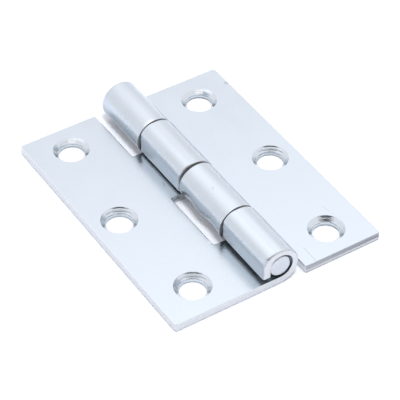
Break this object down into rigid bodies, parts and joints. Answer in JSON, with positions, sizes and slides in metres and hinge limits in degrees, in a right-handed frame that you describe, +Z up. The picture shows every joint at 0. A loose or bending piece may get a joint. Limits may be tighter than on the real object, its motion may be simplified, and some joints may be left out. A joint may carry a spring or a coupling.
{
  "type": "butt hinge",
  "caption": "Pressed steel butt hinge: two flat leaves with countersunk screw holes, joined by rolled knuckles on a plain pin.",
  "frame": {"origin": "on the mounting plane, under the pin's axis, at the middle of the hinge's length", "axes": "+X across the hinge to the right leaf, +Y along the pin, +Z up from the leaves' backs"},
  "size_m": [0.0504, 0.0642, 0.0092],
  "materials": {
    "bright_zinc_steel": "bright zinc plating over pressed steel, semi-gloss",
    "pin_steel": "bright zinc plated, cut end slightly dull"
  },
  "bodies": {
    "left": {"left_leaf": "bright_zinc_steel", "hinge_pin": "pin_steel"},
    "right": {"right_leaf": "bright_zinc_steel"}
  },
  "joints": [
    {"name": "leaf_swing", "type": "hinge", "parent": "left", "child": "right", "pos_m": [0, 0, 0.00495], "axis": [0, -1, 0], "range_deg": [-102, 192]}
  ]
}
